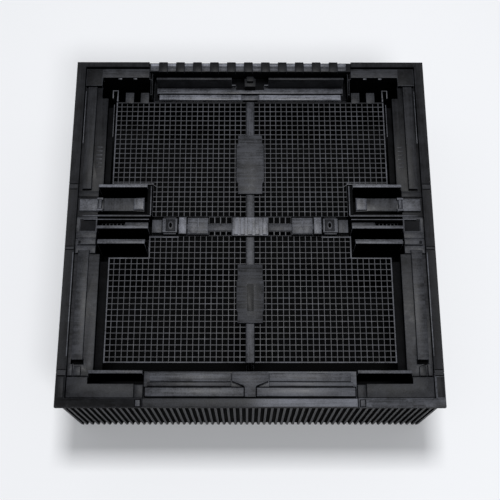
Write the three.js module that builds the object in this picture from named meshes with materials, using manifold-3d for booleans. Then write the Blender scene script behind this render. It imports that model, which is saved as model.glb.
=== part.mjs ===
// Square hive box with a screened floor: ribbed wall panels, a clipped top frame, side ledges with
// tab plates, pockets and latches, a four-quarter floor screen on a cross, an entrance with gates,
// and an inspection tray. Millimetres, +Z up, +Y towards the entrance, origin at the base centre.
import * as THREE from "three";
import { mergeVertices } from "three/addons/utils/BufferGeometryUtils.js";
import Module from "manifold-3d";

const wasm = await Module();
wasm.setup();

// ---------------------------------------------------------------- driving dimensions
const width = 508; // outside, left to right
const depth = 508; // outside, front to entrance
const height = 168; // base to the top of the rim
const fit = 0.4; // gap between two pieces that meet
const run = 0.6; // clearance round a piece that moves

// walls
const ribPitch = 8.33;
const ribDepth = 3.5;
const ribCrest = 3.0; // width of a rib at its outer face
const ribRoot = 5.0; // width of a rib where it meets the panel
const panelThickness = 5;
const cornerRadius = 9;
const rimOverhang = 2; // the rim stands this far outside the ribs
const panelLap = 1; // pieces joined into one solid run this far into each other
const arcSteps = 6; // flats in a quarter of a round corner

// top frame
const rimWidth = 13; // side rim
const frontRimWidth = 12;
const backRimWidth = 8;
const backJoint = 0.4; // rim joint behind the pocket's back end
const middleJoint = 4; // rim joint behind the front end of the middle block
const frontJoint = 3; // rim joint ahead of the front tab
const rimGroove = 1; // between the rim and a plate that lies beside it
const ledgeDrop = 8; // the ledges lie this far below the rim
const flangeThickness = 6; // flange held between the wall and the rim
const raisedPad = 6; // height of plates laid on the ledges
const lowPad = 3; // height of the lower pads
const sideReach = 47; // side ledge, from the outside to its inner edge
const endReach = 48.5; // front ledge and entrance floor, from the outside inwards
const skirtThickness = 2.5;
const skirtDepth = 50; // from the top of the rim to the bottom of the skirts
const trench = 12; // gap all round the floor screen

// back corner plates and the entrance recess between them
const cornerPlateX = 38; // from the outside to the inner edge of a corner plate
const cornerPlateY = 38;
const bracketReach = 24.5; // from the outside to the front edge of a bracket
const bracketShelf = 2.5; // step between the back rim and a bracket's plate
const recessWall = 3; // end wall of the entrance recess
const recessEdge = 5; // from the recess to the bracket's plate

// side bars and slides
const barInset = 18; // from the outside to the outer edge of the bars
const barWidth = 13;
const slideWidth = 15;
const slideTravel = 5;
const slideHouse = 4; // how far the back end of the slide sits in the middle block
const slideWell = 3; // depth of the well under the front end of the slide
const slideEnd = 63.4; // from the outside to the front end of the slide
const barEnds = 2; // from a bar's ends to its neighbours
const ledgeTail = 4.7; // how far the back ledge reaches past the screen
const ledgeShort = 3.5; // from the front rim joint to the end of the front ledge
const lobeHeight = 4;
const outerLobe = [-2, 4]; // sideways, from the outer edge of the bars
const innerLobe = [-13, -4];
const innerLobeShort = 3;

// tab plates and their slots
const tabThickness = 4.3;
const tabOverlap = 5.5; // how far a tab reaches past the ledge's inner edge
const tabTop = 1; // below the top of the rim
const tabDepth = 56; // height of a tab plate
const slotWidth = 13.5; // slot in front of the front tab

// pockets with latches, and the seam between the back and the front half
const seam = 13.4;
const pocketLength = 46; // front to back, outside
const pocketFront = 2.8; // thickness of the front wall of a pocket
const pocketSide = 5; // thickness of the inner wall of a pocket
const pocketGap = 1.5; // from the screen's notch to the pocket
const leverWidth = 19;
const leverThickness = 3.6;
const leverClearance = 4; // from the lever's tip to the pocket's inner side
const leverOffset = 6.6; // from the pocket's outer front to the lever
const leverFlare = 16; // length of the wider tip
const leverFlareRise = 1; // how much wider it is on each side
const leverRest = 0.2; // between a lever and the ledge top below it
const leverShoulder = 5; // from the hinge to the full width of the arm
const hingeRadius = 2.9;
const hingeInset = 3; // from the tabs' outer end to the hinge
const hingeRise = 3; // hinge above the ledges
const pinRadius = 1.5;
const earThickness = 2.6;
const earHalf = 4;
const keeperGap = 3; // from the lever to the strip behind it
const keeperStrip = 8; // width of that strip

// middle blocks and twin tabs
const middleTab = -2.6; // back face of the first of the twin tabs
const twinSpacing = 22.3; // from the first of the twin tabs to the second
const middleEnd = -41.6; // front end of the middle block
const twinOuterShort = 2; // the second tab is this much shorter at its outer end
const twinInnerShort = 4;
const twinStrip = 3.4; // strip behind the second tab
const twinStripBand = [4, 17]; // its top and bottom, below the tabs' top
const twinBridge = 4; // web that joins the two tabs at the bottom
const middleRecess = { side: 2, rim: 4, front: 5.5, back: 4, depth: 3 };
const middlePads = [8, 17, 18, 27, 28]; // ends of the three pads, ahead of the first tab
const middlePadRise = 5;

// floor screen
const screenDrop = 11; // top of the screen below the rim
const screenThickness = 3;
const screenRim = 3;
const screenCell = 23.4; // pitch of the screen's main bars
const screenBar = 2.6;
const notch = 58; // how far the pockets cut into the screens
const frontNotchShort = 3; // the front notches are this much shallower
const backNotchPast = 3.3; // the back notches end this far behind the pockets
const frontNotchPast = 17; // the front notches end this far ahead of the twin tabs
const spineWidth = 10.4;
const spineRise = 1; // above the screens
const webThickness = 4;
const webDepth = 30;
const footLength = 5; // the cross stands on the walls' skirts over this length
const footDepth = 12;

// blank plates on the spine: ends, half widths, and ends of the wider middle
const plateHalf = 17;
const plateShoulder = 3;
const backPlate = [47, 138];
const backPlateHalf = 19.5;
const backPlateWider = [66, 122];
const frontPlate = [-140, -57.5];
const frontPlateHalf = 18.5;
const frontPlateWider = [-122, -82];

// tongues and hooked ribs of the back screens, over the trench at the corner wells
const tongueLength = 18;
const tongueWidth = 12;
const tongueStarts = [11, 33]; // from the notch to the first side of each tongue
const tongueRise = 2;
const ribStart = 0.3; // from the side of the screen to the hooked rib
const ribWidth = 8.6;
const ribThickness = 2;
const ribPast = 3.5; // how far the hooked rib reaches past the tongues
const ribReturn = 13; // length of its outer leg

// cross arm: lengths along it hold for a room of armRoom between the hub and the notch, and keep
// their proportions in any other room
const armRoom = 110.6;
const armBack = 10.6;
const armFront = -14;
const hubHalf = 24.5;
const hubHeight = 7;
const hubStep = 2; // between the hub's base and its ridges
const hubFrontPast = 2; // the hub reaches this far past the arm's front
const ridgePitch = 10;
const ridgeHalf = 3;
const rodWidth = 8;
const rodHeight = 3;
const boltPlateLength = 29;
const guideLength = 10.5;
const windowLength = 17;
const endPadLength = 14;
const armGap = 4; // space between the blocks on the arm
const armDrop = 4; // underside of the arm below the screens
const boltTravel = 20;
const boltFoot = 5.5; // length of the foot that joins a bolt's plate to its rod
const boltPlay = 0.5; // between a bolt's plate and the ends of its bed
const rodMiddle = -2; // the rods lie this far from the middle of the box
const rodReach = 10; // how far a rod reaches into its window block
const rodLift = 0.8; // rods above the deck of the arm
const linkHalf = 5; // half width of the thin bar beside the hub
const guideRise = 8;
const windowRise = 7;
const endPadRise = 5;
const endPadShort = 3; // the end pad is this much narrower on each side
const linkRise = 2;
const windowWall = 2.5;
const windowHalf = 7.5;

// front
const coverBarWidth = 11.5;
const coverBarInset = 14.5; // from the outside to the cover bars
const keyHalf = 8; // half width of the key's stem
const keyHeadHalf = 24;
const keyInset = 2; // from the ledge's inner edge to the key
const keyHeadLength = 11.5;
const keyTaper = 6.5;
const longPad = [2.5, 13.5]; // front to back, from the ledge's inner edge
const longPadEnd = 8; // from the end of the front ledge
const thinPad = [14.5, 20];
const thinPadPast = 3; // how far the thin pads run past the long ones
const thinPadRise = 2;
const coverBarEnd = 3;
const cornerStrip = 12; // width of the strip beside a front corner plate

// entrance
const entrancePast = 6; // the entrance reaches this far past the screen's notches
const toothPitch = 25;
const toothWidth = 12.5;
const toothProud = 1;
const toothShift = -2.6; // the row of teeth lies this far off the middle
const toothStep = 1.5; // teeth above the rail between them
const combWidth = 15; // front to back
const entranceDrop = 31; // entrance floor below the rim
const entranceSlot = 13.6; // height of the opening in the back wall
const gateGap = 54; // between the two gates
const gateThickness = 3;
const gateInset = 25.5; // from the outside to the gate's outer face
const gateEnd = 6; // from the end of the entrance to a gate
const channelHeight = 5;
const channelLip = 2.4;
const sillBarEnd = 8;
const sillBarBand = [0.5, 9.5]; // front to back, from the inner edge
const centreBlockHalf = 8;
const centrePostHalf = 5;
const centreBlockDrop = 6; // below the ledges
const centreBlockLap = 4; // how far it stands in front of the gates

// inspection tray
const trayLift = 14; // underside of the tray above the base
const trayThickness = 3;
const trayLip = 10;
const trayFace = 27; // height of the plate that closes the tray's slot
const runner = 32; // width of the runners on the side walls
const runnerDepth = 6; // underside of the runners below the tray
const trayShort = 5; // between the tray and the front wall
const trayProud = 2; // the tray's face stands this far out of the wall
const trayGrip = { half: 45, depth: 4, rise: 8, top: 6 };
const traySide = 20; // from the inside of a wall to the tray

// ---------------------------------------------------------------- lines worked out from them
const outX = width / 2;
const outY = depth / 2;
const wallOutX = outX - rimOverhang;
const wallOutY = outY - rimOverhang;
const wallInX = wallOutX - ribDepth - panelThickness;
const wallInY = wallOutY - ribDepth - panelThickness;
const rimInX = outX - rimWidth;
const ledgeX = outX - sideReach;
const ledgeY = outY - endReach;
const screenX = ledgeX - trench;
const screenY = ledgeY - trench;
const notchX = screenX - notch;
const frontNotchX = notchX + frontNotchShort;
const frontHalf = frontNotchX; // half the length of the front ledge
const entranceHalf = notchX + entrancePast;
const toothCount = Math.floor((2 * entranceHalf) / toothPitch);
const pocketX = notchX + pocketGap; // inner side of the pockets
const tabIn = pocketX + pocketSide + fit;
const tabOut = ledgeX + tabOverlap;
const blockX = tabOut + fit; // inner side of the blocks beside the tabs
const barOut = outX - barInset;
const pocketBack = seam + pocketLength;
const leverFront = seam + leverOffset;
const leverBack = leverFront + leverWidth;
const flangeBack = leverBack + keeperGap + keeperStrip + fit; // where the ledge meets the pocket
const backTab = pocketBack - fit - tabThickness; // front face of the back tab
const frontTab = -ledgeY + fit; // back face of the front tab
const slotFront = frontTab - tabThickness - slotWidth;

const ledgeTop = height - ledgeDrop;
const flangeBottom = ledgeTop - flangeThickness;
const wallTop = flangeBottom - fit;
const rimBottom = ledgeTop + fit;
const padTop = ledgeTop + raisedPad;
const skirtBottom = height - skirtDepth;
const screenTop = height - screenDrop;
const spineTop = screenTop + spineRise;
const screenBottom = screenTop - screenThickness;
const entranceFloor = height - entranceDrop;

// ---------------------------------------------------------------- materials
function plastic(colour, roughness) {
  return new THREE.MeshStandardMaterial({ color: colour, roughness, metalness: 0 });
}
const skirtBlack = plastic(0x1d1e20, 0.55);
const frameBlack = plastic(0x202124, 0.5);
const innerBlack = plastic(0x292a2d, 0.45);
const screenBlack = plastic(0x242528, 0.5);
const brightBlack = plastic(0x38393c, 0.4);

// ---------------------------------------------------------------- making solids
// A block between two corners.
function block(x0, x1, y0, y1, z0, z1) {
  const box = new THREE.BoxGeometry(x1 - x0, y1 - y0, z1 - z0);
  return box.translate((x0 + x1) / 2, (y0 + y1) / 2, (z0 + z1) / 2);
}

// A plan outline raised from z0 to z1.
function raised(outline, z0, z1) {
  const shape = new THREE.Shape(outline.map(([x, y]) => new THREE.Vector2(x, y)));
  const solid = new THREE.ExtrudeGeometry(shape, { depth: z1 - z0, bevelEnabled: false });
  return solid.translate(0, 0, z0);
}

// A round bar along Y.
function roundBar(x, z, radius, y0, y1) {
  const bar = new THREE.CylinderGeometry(radius, radius, y1 - y0, 16);
  return bar.translate(x, (y0 + y1) / 2, z);
}

function rectangle(x0, x1, y0, y1) {
  return [[x0, y0], [x1, y0], [x1, y1], [x0, y1]];
}

function toManifold(geometry) {
  const bare = geometry.clone();
  bare.deleteAttribute("normal");
  bare.deleteAttribute("uv");
  const merged = mergeVertices(bare, 1e-4);
  const mesh = new wasm.Mesh({
    numProp: 3,
    vertProperties: merged.attributes.position.array,
    triVerts: new Uint32Array(merged.index.array),
  });
  return new wasm.Manifold(mesh);
}

function fromManifold(solid) {
  const mesh = solid.getMesh();
  const geometry = new THREE.BufferGeometry();
  geometry.setAttribute("position", new THREE.BufferAttribute(mesh.vertProperties, 3));
  geometry.setIndex(new THREE.BufferAttribute(mesh.triVerts, 1));
  const faceted = geometry.toNonIndexed();
  faceted.computeVertexNormals();
  return faceted;
}

function joined(...parts) {
  return fromManifold(parts.map(toManifold).reduce((whole, part) => whole.add(part)));
}

function cut(body, ...tools) {
  return fromManifold(tools.map(toManifold).reduce((rest, tool) => rest.subtract(tool), toManifold(body)));
}

const box = new THREE.Group();

function place(name, geometry, material) {
  const mesh = new THREE.Mesh(geometry, material);
  mesh.name = name;
  box.add(mesh);
  return mesh;
}

// A right-hand piece and its mirror image on the left.
function placePair(name, geometry, material) {
  place(`right_${name}`, geometry, material);
  place(`left_${name}`, geometry, material).scale.x = -1;
}

// ---------------------------------------------------------------- ribbed walls
// Plan outline of a panel whose ribs stand towards -Y, from x = -half to x = half.
function ribbedOutline(half, face) {
  const ribs = Math.round((2 * half) / ribPitch);
  const pitch = (2 * half) / ribs;
  const points = [[half, face + ribDepth + panelThickness], [-half, face + ribDepth + panelThickness]];
  for (let i = 0; i < ribs; i += 1) {
    const middle = -half + (i + 0.5) * pitch;
    points.push([middle - ribRoot / 2, face + ribDepth], [middle - ribCrest / 2, face]);
    points.push([middle + ribCrest / 2, face], [middle + ribRoot / 2, face + ribDepth]);
  }
  points.splice(2, 0, [-half, face + ribDepth]);
  points.push([half, face + ribDepth]);
  return points;
}

const frontPanelHalf = wallOutX - cornerRadius - fit;
const sidePanelHalf = wallOutY - cornerRadius - fit;

place("front_wall", raised(ribbedOutline(frontPanelHalf, -wallOutY), 0, wallTop), skirtBlack);

const trayHalf = wallInX - traySide;
place(
  "back_wall",
  cut(
    raised(ribbedOutline(frontPanelHalf, -wallOutY), 0, wallTop).rotateZ(Math.PI),
    block(panelLap - entranceHalf, entranceHalf - panelLap, 0, outY, wallTop - entranceSlot, height),
    block(-trayHalf - run, trayHalf + run, 0, outY, trayLift - run, trayLift + trayFace + run),
  ),
  skirtBlack,
);

// Plan outline of a post with a rounded outer corner, at the +Y end or, with side -1, at the -Y end.
function cornerOutline(side) {
  const x = wallOutX - cornerRadius;
  const y = wallOutY - cornerRadius;
  const lap = y - fit - panelLap;
  const points = [[x, lap], [wallOutX - ribDepth, lap]];
  for (let step = 0; step <= arcSteps; step += 1) {
    const angle = (step / arcSteps) * (Math.PI / 2);
    points.push([x + cornerRadius * Math.cos(angle), y + cornerRadius * Math.sin(angle)]);
  }
  return points.map(([px, py]) => [px, side * py]);
}

// A side wall carries both rounded corners and the runner for the tray.
placePair(
  "wall",
  joined(
    raised(ribbedOutline(sidePanelHalf, -wallOutX).map(([x, y]) => [-y, x]), 0, wallTop),
    raised(cornerOutline(1), 0, wallTop),
    raised(cornerOutline(-1), 0, wallTop),
    block(wallInX - runner, wallInX + panelLap, barEnds - wallInY, wallInY - barEnds,
      trayLift - runnerDepth, trayLift - run),
  ),
  skirtBlack,
);

// ---------------------------------------------------------------- top rim
const cornerX = outX - cornerPlateX; // inner edges of the back corner plates
const cornerY = outY - cornerPlateY;
const bracketFront = outY - bracketReach;
const bracketIn = entranceHalf + recessEdge;
const rimJointBack = pocketBack + backJoint;
const rimJointMiddle = middleEnd + middleJoint;
const rimJointFront = frontTab - frontJoint;

placePair(
  "rim_back_corner",
  raised(
    [
      [bracketIn, outY - backRimWidth],
      [rimInX, outY - backRimWidth],
      [rimInX, rimJointBack],
      [outX, rimJointBack],
      [outX, outY],
      [bracketIn, outY],
    ],
    rimBottom,
    height,
  ),
  frameBlack,
);
placePair(
  "rim_middle",
  block(rimInX, outX, rimJointMiddle, rimJointBack - fit, rimBottom, height),
  frameBlack,
);
placePair(
  "rim_front",
  block(rimInX, outX, rimJointFront, rimJointMiddle - fit, rimBottom, height),
  frameBlack,
);
placePair(
  "rim_front_corner",
  raised(
    [
      [frontHalf + fit, -outY],
      [outX, -outY],
      [outX, rimJointFront - fit],
      [rimInX, rimJointFront - fit],
      [rimInX, -outY + frontRimWidth],
      [frontHalf + fit, -outY + frontRimWidth],
    ],
    rimBottom,
    height,
  ),
  frameBlack,
);
place(
  "front_rim_bar",
  block(-frontHalf, frontHalf, -outY, -outY + frontRimWidth, rimBottom, height),
  innerBlack,
);

// The entrance comb: a rail over the opening of the back wall, with teeth that stand proud of it.
const combTop = height - toothStep;
const combInY = outY - combWidth;
const combParts = [
  block(fit - bracketIn, bracketIn - fit, combInY, outY - toothProud, rimBottom, combTop),
  block(fit - entranceHalf, entranceHalf - fit, combInY, wallOutY, flangeBottom, rimBottom),
];
for (let tooth = 0; tooth < toothCount; tooth += 1) {
  const middle = (tooth - (toothCount - 1) / 2) * toothPitch + toothShift;
  const half = toothWidth / 2;
  combParts.push(block(middle - half, middle + half, combInY - toothProud, outY, rimBottom, height));
}
place("entrance_comb", joined(...combParts), frameBlack);

// Back corner brackets: flange on the wall, raised plate, and the end wall of the entrance recess.
placePair(
  "back_bracket",
  joined(
    raised(
      [
        [entranceHalf + fit, bracketFront],
        [cornerX, bracketFront],
        [cornerX, cornerY],
        [wallOutX, cornerY],
        [wallOutX, wallOutY],
        [entranceHalf + fit, wallOutY],
      ],
      flangeBottom,
      ledgeTop,
    ),
    raised(
      [
        [bracketIn, bracketFront],
        [cornerX, bracketFront],
        [cornerX, cornerY],
        [rimInX - rimGroove, cornerY],
        [rimInX - rimGroove, outY - backRimWidth - bracketShelf],
        [bracketIn, outY - backRimWidth - bracketShelf],
      ],
      ledgeTop,
      padTop,
    ),
    block(entranceHalf + fit, entranceHalf + fit + recessWall, ledgeY, bracketFront + panelLap,
      skirtBottom, ledgeTop - bracketShelf),
  ),
  innerBlack,
);

// ---------------------------------------------------------------- side ledges, bars and slides
placePair(
  "back_ledge",
  joined(
    raised(
      [
        [ledgeX, rimJointBack],
        [blockX, rimJointBack],
        [blockX, flangeBack + fit],
        [wallOutX, flangeBack + fit],
        [wallOutX, cornerY - fit],
        [cornerX, cornerY - fit],
        [cornerX, screenY + ledgeTail],
        [ledgeX, screenY + ledgeTail],
      ],
      flangeBottom,
      ledgeTop,
    ),
    block(ledgeX, ledgeX + skirtThickness, rimJointBack, screenY + ledgeTail, skirtBottom,
      flangeBottom),
  ),
  innerBlack,
);
placePair(
  "ledge_bar",
  block(barOut - barWidth, barOut, flangeBack + fit + barEnds, cornerY - barEnds, rimBottom, padTop),
  brightBlack,
);

// The front ledge of a side, with two stop lobes ahead of the slide.
const slideFront = -outY + slideEnd;
const lobeBack = slideFront - slideTravel - run;
const ledgeEnd = rimJointFront - ledgeShort;
const lobe = ([x0, x1], back, rise) => block(barOut + x0, barOut + x1, ledgeEnd, back, ledgeTop,
  ledgeTop + rise);
placePair(
  "front_ledge",
  cut(
    joined(
      raised(
        [
          [ledgeX, middleEnd - fit],
          [wallOutX, middleEnd - fit],
          [wallOutX, ledgeEnd],
          [blockX, ledgeEnd],
          [blockX, frontTab + fit],
          [ledgeX, frontTab + fit],
        ],
        flangeBottom,
        ledgeTop,
      ),
      block(ledgeX, ledgeX + skirtThickness, frontTab + fit, middleEnd - fit, skirtBottom, flangeBottom),
      lobe(outerLobe, lobeBack, lobeHeight),
      lobe(innerLobe, lobeBack - innerLobeShort, lowPad),
    ),
    block(barOut - slideWidth - run, barOut + run, lobeBack + fit, slideFront + barEnds,
      ledgeTop - slideWell, height),
  ),
  innerBlack,
);
placePair(
  "slide",
  block(barOut - slideWidth, barOut, slideFront, middleEnd + slideHouse - fit, rimBottom,
    padTop - rimGroove),
  brightBlack,
);

// ---------------------------------------------------------------- pockets, latches and tabs
const hingeX = tabOut - hingeInset;
const hingeZ = ledgeTop + hingeRise;
const pocketOutline = (outside) => [
  [pocketX, seam],
  [outside, seam],
  [outside, flangeBack],
  [blockX, flangeBack],
  [blockX, seam + pocketFront],
  [pocketX + pocketSide, seam + pocketFront],
  [pocketX + pocketSide, pocketBack],
  [pocketX, pocketBack],
];
const ear = (y) => block(hingeX - earHalf, blockX + panelLap, y, y + earThickness, ledgeTop,
  hingeZ + hingeRise);
placePair(
  "pocket",
  cut(
    joined(
      raised(pocketOutline(wallOutX), flangeBottom, ledgeTop),
      raised(pocketOutline(blockX + skirtThickness), skirtBottom, flangeBottom),
      block(blockX, rimInX - keeperGap, leverFront, leverBack, ledgeTop, ledgeTop + lowPad),
      block(blockX, rimInX - fit, leverBack + keeperGap, leverBack + keeperGap + keeperStrip, ledgeTop,
        ledgeTop + lowPad),
      ear(leverFront),
      ear(leverBack - earThickness),
    ),
    roundBar(hingeX, hingeZ, pinRadius + fit, leverFront - panelLap, leverBack + panelLap),
    block(hingeX - hingeRadius - run, hingeX + hingeRadius + run, leverFront + earThickness,
      leverBack - earThickness, ledgeTop, height),
  ),
  innerBlack,
);

// The latch lever: a barrel with stub pins in the pocket's ears, an arm, and a flared thumb tip.
const leverTip = pocketX + pocketSide + leverClearance;
const leverMiddle = (leverFront + leverBack) / 2;
const neck = leverWidth / 2 - earThickness - run;
placePair(
  "latch_lever",
  joined(
    raised(
      [
        [hingeX, leverMiddle - neck],
        [hingeX, leverMiddle + neck],
        [hingeX - leverShoulder, leverMiddle + neck],
        [hingeX - leverShoulder, leverBack],
        [leverTip + leverFlare, leverBack],
        [leverTip, leverBack + leverFlareRise],
        [leverTip, leverFront - leverFlareRise],
        [leverTip + leverFlare, leverFront],
        [hingeX - leverShoulder, leverFront],
        [hingeX - leverShoulder, leverMiddle - neck],
      ],
      ledgeTop + leverRest,
      ledgeTop + leverRest + leverThickness,
    ),
    roundBar(hingeX, hingeZ, hingeRadius, leverMiddle - neck, leverMiddle + neck),
    roundBar(hingeX, hingeZ, pinRadius, leverFront + fit, leverBack - fit),
  ),
  brightBlack,
);

const tabPlateTop = height - tabTop;
const twinBottom = tabPlateTop - tabDepth;
placePair(
  "back_tab",
  block(tabIn, tabOut, backTab, backTab + tabThickness, twinBottom, tabPlateTop),
  brightBlack,
);

const secondTab = middleTab - twinSpacing;
const twinIn = frontNotchX + panelLap;
const secondIn = twinIn + twinInnerShort;
const secondOut = tabOut - twinOuterShort;
const [stripTop, stripBottom] = twinStripBand;
placePair(
  "twin_tab",
  joined(
    block(twinIn, tabOut, middleTab - tabThickness, middleTab, twinBottom, tabPlateTop),
    block(secondIn, secondOut, secondTab - tabThickness, secondTab, twinBottom, tabPlateTop),
    block(secondIn, secondOut, secondTab - panelLap, secondTab + twinStrip, tabPlateTop - stripBottom,
      tabPlateTop - stripTop),
    block(secondIn, secondOut, secondTab - panelLap, middleTab - panelLap, twinBottom,
      twinBottom + twinBridge),
  ),
  brightBlack,
);
placePair(
  "front_tab",
  block(twinIn, tabOut, frontTab - tabThickness, frontTab, twinBottom, tabPlateTop),
  brightBlack,
);

// Middle blocks between the pockets and the front ledges, with a recess and three pads.
const [padOne, padTwo, padThree, padFour, padFive] = middlePads;
placePair(
  "middle_block",
  cut(
    joined(
      raised(rectangle(blockX, wallOutX, middleEnd, seam - fit), flangeBottom, ledgeTop),
      block(blockX, rimInX - fit, middleTab - padTwo, middleTab - padOne, ledgeTop, ledgeTop + lowPad),
      block(blockX, rimInX - keeperGap, middleTab - padFour, middleTab - padThree, ledgeTop,
        ledgeTop + middlePadRise),
      block(blockX, rimInX - fit, middleEnd, middleTab - padFive, ledgeTop, ledgeTop + lowPad),
    ),
    block(blockX + middleRecess.side, rimInX - middleRecess.rim, middleTab - middleRecess.front,
      seam - middleRecess.back, ledgeTop - middleRecess.depth, height),
    block(barOut - slideWidth - run, barOut + run, middleEnd - panelLap, middleEnd + slideHouse,
      ledgeTop, height),
  ),
  innerBlack,
);

// ---------------------------------------------------------------- floor screen on its cross
const spineHalf = spineWidth / 2;
const footTop = skirtBottom - fit;
const webHalf = webThickness / 2;
const armEnd = notchX - panelLap;
const armBase = screenBottom - armDrop;
const footBottom = footTop - footDepth;
const footFace = screenY - footLength;
place(
  "carrier_cross",
  joined(
    block(-spineHalf, spineHalf, -screenY, screenY, screenBottom, spineTop),
    block(-webHalf, webHalf, -screenY, screenY, screenBottom - webDepth, screenBottom + panelLap),
    block(-armEnd, armEnd, -webThickness, 0, screenBottom - webDepth, armBase - fit),
    block(-webHalf, webHalf, -screenY, -footFace, footBottom, screenBottom),
    block(-webHalf, webHalf, footFace, screenY, footBottom, screenBottom),
    block(-spineHalf, spineHalf, fit - wallInY, -footFace, footBottom, footTop),
    block(-spineHalf, spineHalf, footFace, wallInY - fit, footBottom, footTop),
  ),
  innerBlack,
);

// Openings of one zone of a screen, in an even grid inside its rim.
function screenHoles(x0, x1, y0, y1) {
  const columns = Math.max(1, Math.round((x1 - x0 + screenBar) / screenCell));
  const rows = Math.max(1, Math.round((y1 - y0 + screenBar) / screenCell));
  const stepX = (x1 - x0 + screenBar) / columns;
  const stepY = (y1 - y0 + screenBar) / rows;
  const holes = [];
  for (let column = 0; column < columns; column += 1) {
    for (let row = 0; row < rows; row += 1) {
      const x = x0 + column * stepX;
      const y = y0 + row * stepY;
      holes.push(block(x, x + stepX - screenBar, y, y + stepY - screenBar, 0, height));
    }
  }
  return holes;
}

// A quarter of the screen, from the arm at y0 to its far edge at y1, notched beside the pockets.
function screenQuarter(y0, notchEnd, y1, cutX, outerX, ...fittings) {
  const x0 = spineHalf + fit;
  const side = Math.sign(y1 - y0);
  const outline = [[x0, y0], [cutX, y0], [cutX, notchEnd], [outerX, notchEnd], [outerX, y1], [x0, y1]];
  const inside = [y0 + side * screenRim, y1 - side * screenRim].sort((a, b) => a - b);
  const beyond = [notchEnd + side * screenRim, y1 - side * screenRim].sort((a, b) => a - b);
  const holes = [
    ...screenHoles(x0 + screenRim, cutX - screenRim, ...inside),
    ...screenHoles(cutX - screenRim + screenBar, outerX - screenRim, ...beyond),
  ];
  return cut(joined(raised(outline, screenBottom, screenTop), ...fittings), ...holes);
}

// Tongues stand over the trench behind a back screen; a hooked rib stands in its outer corner.
const tongueBack = screenY + tongueLength - screenRim;
const tongues = tongueStarts.map((start) => block(notchX + start, notchX + start + tongueWidth,
  screenY - screenRim, tongueBack, screenBottom, screenTop + tongueRise));
const ribIn = screenX - ribStart - ribThickness;
const ribOut = ribIn + ribWidth;
const ribBack = tongueBack + ribPast;
const ribLeg = (x0, x1, y0) => block(x0, x1, y0, ribBack, screenBottom, screenTop + tongueRise);
const hookedRib = [
  ribLeg(ribIn, ribIn + ribThickness, screenY - screenRim),
  ribLeg(ribIn, ribOut, ribBack - ribThickness),
  ribLeg(ribOut - ribThickness, ribOut, ribBack - ribReturn),
];
placePair(
  "back_screen",
  screenQuarter(seam + panelLap, pocketBack + backNotchPast, screenY, notchX, screenX, ...tongues,
    ...hookedRib),
  screenBlack,
);
placePair(
  "front_screen",
  screenQuarter(armFront - fit, secondTab - tabThickness - frontNotchPast, -screenY, frontNotchX,
    screenX),
  screenBlack,
);

// Blank plates on the spine, each a little wider in the middle.
function centrePlate([y0, y1], half, widerHalf, [widerFrom, widerTo]) {
  const right = [[half, y0], [half, widerFrom - plateShoulder], [widerHalf, widerFrom]];
  right.push([widerHalf, widerTo], [half, widerTo + plateShoulder], [half, y1]);
  const left = right.map(([x, y]) => [-x, y]).reverse();
  return raised([...right, ...left], spineTop + fit, spineTop + fit + lowPad);
}
place("back_plate", centrePlate(backPlate, plateHalf, backPlateHalf, backPlateWider), innerBlack);
place("front_plate", centrePlate(frontPlate, plateHalf, frontPlateHalf, frontPlateWider), innerBlack);

// ---------------------------------------------------------------- cross arm with its draw bolts
const hubBottom = spineTop + fit;
const hubFront = armFront - hubFrontPast;
const hubTop = hubBottom + hubHeight;
const hubParts = [block(-hubHalf, hubHalf, hubFront, armBack, hubBottom, hubTop - hubStep)];
for (let ridge = -2; ridge <= 2; ridge += 1) {
  const middle = ridge * ridgePitch;
  hubParts.push(block(middle - ridgeHalf, middle + ridgeHalf, hubFront + panelLap, armBack - panelLap,
    hubBottom + hubStep, hubTop));
}
place("hub", joined(...hubParts), brightBlack);

const armDeck = screenTop - spineRise;
const along = (armEnd - hubHalf - fit) / armRoom;
const windowLong = windowLength * along;
const guideLong = guideLength * along;
const padIn = armEnd - endPadLength * along;
const windowIn = padIn - windowLong - (armGap / 2) * along;
const guideIn = windowIn - armGap * along - guideLong;
const guideOut = guideIn + guideLong;
const boltOut = guideIn - 2 * run;
const boltIn = boltOut - boltPlateLength * along;
const footIn = boltOut - boltPlay - boltFoot * along;
const linkOut = footIn - boltTravel * along - run;
const rodOut = windowIn + rodReach * along;
const rodSide = rodWidth / 2;
const rodBottom = armDeck + rodLift;
const rodTop = rodBottom + rodHeight;
const plateBottom = rodTop + panelLap;
const tunnel = (x0, x1) => block(x0, x1, rodMiddle - rodSide - run, rodMiddle + rodSide + run, armDeck,
  rodTop + run);
const rail = (y0, y1) => block(boltIn, boltOut, y0, y1, armDeck, plateBottom - run);
placePair(
  "arm",
  cut(
    joined(
      block(boltIn, armEnd, armFront, armBack, armBase, armDeck),
      block(hubHalf + fit, linkOut, rodMiddle - linkHalf, rodMiddle + linkHalf, armBase,
        armDeck + linkRise),
      block(guideIn, guideOut, armFront, armBack, armDeck, armDeck + guideRise),
      block(windowIn, windowIn + windowLong, armFront, armBack, armDeck, armDeck + windowRise),
      block(padIn, armEnd, armFront + endPadShort, armBack - endPadShort, armDeck, armDeck + endPadRise),
      rail(armFront, rodMiddle - rodSide - 2 * run),
      rail(rodMiddle + rodSide + 2 * run, armBack),
    ),
    tunnel(guideIn - panelLap, guideOut + panelLap),
    tunnel(windowIn - panelLap, rodOut),
    block(windowIn + windowWall, rodOut + run, rodMiddle - windowHalf, rodMiddle + windowHalf, armDeck,
      height),
  ),
  innerBlack,
);
placePair(
  "draw_bolt",
  joined(
    block(boltIn + boltPlay, boltOut - boltPlay, armFront + run, armBack - run, plateBottom,
      plateBottom + lowPad),
    block(footIn, rodOut, rodMiddle - rodSide, rodMiddle + rodSide, rodBottom, rodTop),
    block(footIn, boltOut - boltPlay, rodMiddle - rodSide, rodMiddle + rodSide, rodBottom,
      plateBottom + panelLap),
  ),
  brightBlack,
);

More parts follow.
